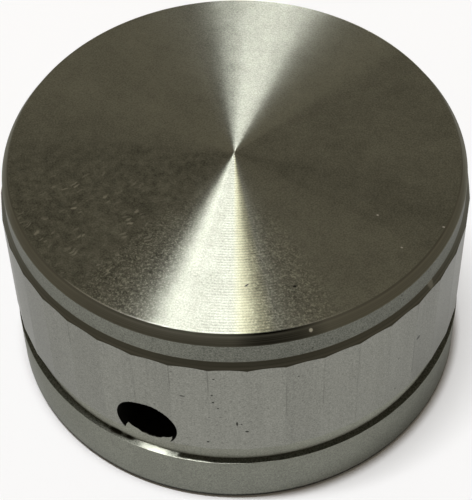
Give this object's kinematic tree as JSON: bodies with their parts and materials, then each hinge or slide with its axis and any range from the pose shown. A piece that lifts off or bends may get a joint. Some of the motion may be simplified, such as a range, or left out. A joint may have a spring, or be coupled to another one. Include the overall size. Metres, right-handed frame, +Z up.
{
  "type": "control knob",
  "caption": "Round turned aluminium control knob with a ring of milled grip flats, a grooved flange at the foot, a blind shaft bore and a radial set screw.",
  "frame": {"origin": "middle of the foot face, on the turning axis", "axes": "+Z up the turning axis to the top face, -Y out along the radial set screw hole"},
  "size_m": [0.044, 0.044, 0.0244],
  "materials": {
    "turned_aluminium": "bare, as turned and milled, not polished or anodised",
    "screw_steel": "black oxide"
  },
  "bodies": {
    "root": {"knob_body": "turned_aluminium", "grub_screw": "screw_steel"}
  },
  "joints": []
}
